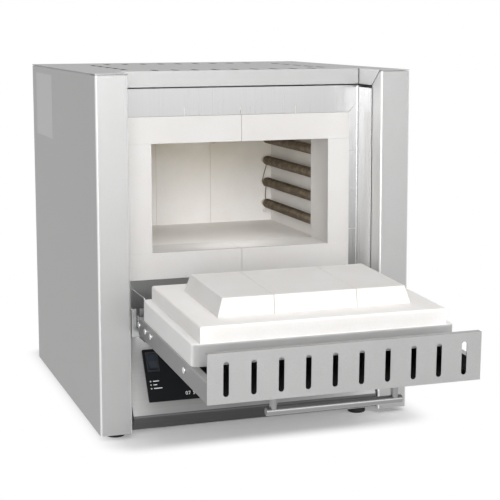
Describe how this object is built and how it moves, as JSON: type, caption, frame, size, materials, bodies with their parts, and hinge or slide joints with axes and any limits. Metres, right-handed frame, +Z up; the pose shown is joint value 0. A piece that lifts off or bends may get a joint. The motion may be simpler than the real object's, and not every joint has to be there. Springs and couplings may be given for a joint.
{
  "type": "muffle furnace",
  "caption": "Bench-top muffle furnace with brick-lined chamber, heating coils on both sides, slanted controller panel and a flap door that opens flat and carries a brick plug.",
  "frame": {"origin": "on the table, at the middle of the bounding box with the door open", "axes": "+Z up, the door opens towards -Y, +X to the right seen from the front"},
  "size_m": [0.53, 0.9578, 0.58],
  "materials": {
    "textured_steel": "fine pressed linen texture",
    "bright_steel": "bright, lightly brushed",
    "zinc_steel": "satin zinc plate",
    "pale_tray": "pale satin",
    "handle_steel": "satin, turned",
    "screw_steel": "bright",
    "insulating_brick": "matt, finely porous",
    "fibre_board": "matt, fibrous",
    "tube_ceramic": "smooth, unglazed",
    "coil_wire": "oxidised heating wire",
    "black_front": "gloss black",
    "black_moulding": "fine grain",
    "rocker_plastic": "satin",
    "light_lens": "clear",
    "dial_aluminium": "turned",
    "foot_rubber": "matt"
  },
  "bodies": {
    "casing": {"side_panel_left": "textured_steel", "side_panel_right": "textured_steel", "top_cover": "textured_steel", "rear_cover": "textured_steel", "base_pan": "zinc_steel", "chassis_shelf": "zinc_steel", "feet": "foot_rubber", "front_frame_plate": "bright_steel", "controller_panel": "textured_steel", "controller_glass": "black_front", "controller_housing": "black_moulding", "rocker_bezel": "black_moulding", "status_lights": "light_lens", "collar_top_bricks": "insulating_brick", "collar_bottom_bricks": "insulating_brick", "collar_side_bricks": "insulating_brick", "side_brick_left": "insulating_brick", "side_brick_right": "insulating_brick", "roof_brick": "insulating_brick", "floor_brick": "insulating_brick", "rear_bricks": "insulating_brick", "backup_side_boards": "fibre_board", "backup_roof_board": "fibre_board", "backup_floor_board": "fibre_board", "backup_rear_board": "fibre_board", "inner_casing": "zinc_steel", "support_tubes_left": "tube_ceramic", "support_tubes_right": "tube_ceramic", "heating_coils_left": "coil_wire", "heating_coils_right": "coil_wire", "element_terminals": "coil_wire", "thermocouple": "tube_ceramic", "exhaust_tube": "tube_ceramic", "exhaust_stub": "bright_steel", "relay_heat_sink": "dial_aluminium", "solid_state_relay": "black_moulding", "terminal_block": "black_moulding", "cable_gland": "black_moulding", "cover_screws": "screw_steel", "door_sensor": "black_moulding", "hinge_pins": "screw_steel", "hinge_bracket_left": "zinc_steel", "hinge_bracket_right": "zinc_steel"},
    "door": {"door_outer_panel": "textured_steel", "door_inner_tray": "pale_tray", "door_slab": "insulating_brick", "door_plug_left": "insulating_brick", "door_plug_middle": "insulating_brick", "door_plug_right": "insulating_brick", "handle_bar": "handle_steel", "handle_standoffs": "handle_steel", "handle_screws": "screw_steel", "door_bolts": "screw_steel", "door_magnet": "black_moulding", "door_arm_left": "zinc_steel", "door_arm_right": "zinc_steel"},
    "rocker": {"rocker_switch": "rocker_plastic"},
    "dial": {"jog_dial": "dial_aluminium"}
  },
  "joints": [
    {"name": "door_hinge", "type": "hinge", "parent": "casing", "child": "door", "pos_m": [0, -0.08515, 0.187], "axis": [-1, 0, 0], "range_deg": [0, 92.2]},
    {"name": "power_rocker", "type": "hinge", "parent": "casing", "child": "rocker", "pos_m": [-0.1675, -0.05409, 0.10868], "axis": [1, 0, 0], "range_deg": [0, 16]},
    {"name": "dial_turn", "type": "hinge", "parent": "casing", "child": "dial", "pos_m": [0.04, -0.06585, 0.0895], "axis": [0, -0.8526, 0.5225], "continuous": true}
  ]
}
